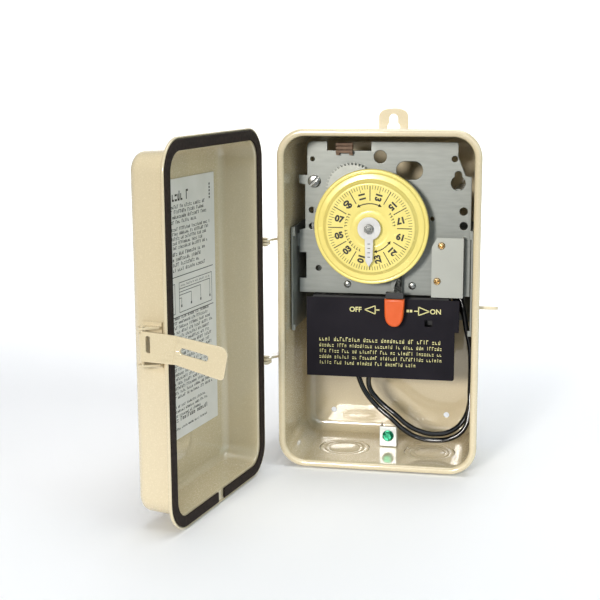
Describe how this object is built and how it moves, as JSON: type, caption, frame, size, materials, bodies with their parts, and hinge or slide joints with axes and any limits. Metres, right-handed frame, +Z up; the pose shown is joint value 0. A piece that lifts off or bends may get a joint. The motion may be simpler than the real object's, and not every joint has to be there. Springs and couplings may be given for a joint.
{
  "type": "mechanical dial time switch in a hinged enclosure",
  "caption": "Mechanical 24-hour time switch: round yellow dial, trip lever and terminals in a tan steel outdoor case with its gasketed door and hasp open.",
  "frame": {"origin": "centre of the case's rear face, which lies on the wall", "axes": "+X to the right as seen from the front, +Y into the wall, +Z up; the opening faces -Y"},
  "size_m": [0.206, 0.2322, 0.2453],
  "materials": {
    "beige_paint": "gloss enamel",
    "galvanised": "dull zinc",
    "pale_steel": "satin",
    "screw_steel": "plated",
    "brass": "plated",
    "dial_yellow": "satin",
    "silver_paint": "satin",
    "orange_plastic": "satin moulded",
    "black_plastic": "moulded",
    "insulator_sheet": "satin sheet",
    "wire_insulation": "gloss",
    "brown_fibre": "matt",
    "gasket_foam": "closed-cell foam",
    "label_paper": "matt",
    "green_screw": "dyed zinc"
  },
  "bodies": {
    "case": {"case_shell": "beige_paint", "hanger_tab": "beige_paint", "knockout_left": "beige_paint", "knockout_right": "beige_paint", "padlock_staple": "beige_paint", "case_hinge_ear_upper": "beige_paint", "case_hinge_ear_lower": "beige_paint", "standoff_left": "screw_steel", "standoff_right": "screw_steel", "plate_screw": "screw_steel", "plate_rivet_left": "screw_steel", "plate_rivet_right": "screw_steel", "motor_can": "screw_steel", "dial_arbor": "screw_steel", "idler_arbor": "screw_steel", "arbor_nut": "screw_steel", "lever_rivet": "screw_steel", "hinge_pin_upper": "beige_paint", "hinge_pin_lower": "beige_paint", "side_rail_left": "galvanised", "side_rail_right": "galvanised", "mechanism_plate": "galvanised", "ground_bracket": "galvanised", "cover_bracket": "pale_steel", "cover_rivet_upper": "brass", "cover_rivet_lower": "brass", "fixed_contact_left": "brass", "fixed_contact_right": "brass", "terminal_screw_1": "brass", "terminal_screw_2": "brass", "terminal_screw_3": "brass", "terminal_screw_4": "brass", "terminal_screw_5": "brass", "pointer": "silver_paint", "auxiliary_switch": "black_plastic", "terminal_block": "black_plastic", "insulator": "insulator_sheet", "wire_outer": "wire_insulation", "wire_inner": "wire_insulation", "top_catch": "brown_fibre", "ground_screw": "green_screw"},
    "door": {"door_shell": "beige_paint", "gasket": "gasket_foam", "instruction_label": "label_paper", "door_hinge_ear_upper": "beige_paint", "door_hinge_ear_lower": "beige_paint", "hasp_bracket": "beige_paint", "hasp_pin": "beige_paint"},
    "hasp": {"hasp_strap": "beige_paint"},
    "dial_drive": {"dial_gear": "screw_steel"},
    "dial": {"dial": "dial_yellow"},
    "idler": {"idler_gear": "screw_steel"},
    "motor_rotor": {"motor_pinion": "brass"},
    "lever": {"lever_arm": "galvanised", "lever_knob": "orange_plastic", "lever_collar": "black_plastic"},
    "contacts": {"contact_bar": "brown_fibre", "moving_contact_left": "brass", "moving_contact_right": "brass"}
  },
  "joints": [
    {"name": "door_hinge", "type": "hinge", "parent": "case", "child": "door", "pos_m": [-0.076, -0.079, 0], "axis": [0, 0, -1], "range_deg": [-100.2, 75]},
    {"name": "hasp_hinge", "type": "hinge", "parent": "door", "child": "hasp", "pos_m": [-0.11687, -0.2203, -0.0016], "axis": [0, 0, -1], "range_deg": [0, 110]},
    {"name": "dial_turn", "type": "hinge", "parent": "case", "child": "dial_drive", "pos_m": [-0.007, -0.054, 0.0496], "axis": [0, 1, 0], "continuous": true},
    {"name": "dial_pull", "type": "slide", "parent": "dial_drive", "child": "dial", "axis": [0, -1, 0], "range_m": [0, 0.0025], "stiffness_N_per_m": 400},
    {"name": "idler_turn", "type": "hinge", "parent": "case", "child": "idler", "pos_m": [-0.02208, -0.047, 0.07414], "axis": [0, 1, 0], "continuous": true},
    {"name": "motor_turn", "type": "hinge", "parent": "case", "child": "motor_rotor", "pos_m": [-0.03288, -0.044, 0.05543], "axis": [0, 1, 0], "continuous": true},
    {"name": "lever_swing", "type": "hinge", "parent": "case", "child": "lever", "pos_m": [0.0096, -0.047, 0.022], "axis": [0, -1, 0], "range_deg": [-10, 10]},
    {"name": "contact_slide", "type": "slide", "parent": "case", "child": "contacts", "axis": [1, 0, 0], "range_m": [-0.0055, 0.0055]}
  ],
  "couplings": [
    {"joint": "idler_turn", "follows": "dial_turn", "ratio": -5},
    {"joint": "motor_turn", "follows": "dial_turn", "ratio": 22},
    {"joint": "contact_slide", "follows": "lever_swing", "m_per_rad": 0.030843}
  ]
}
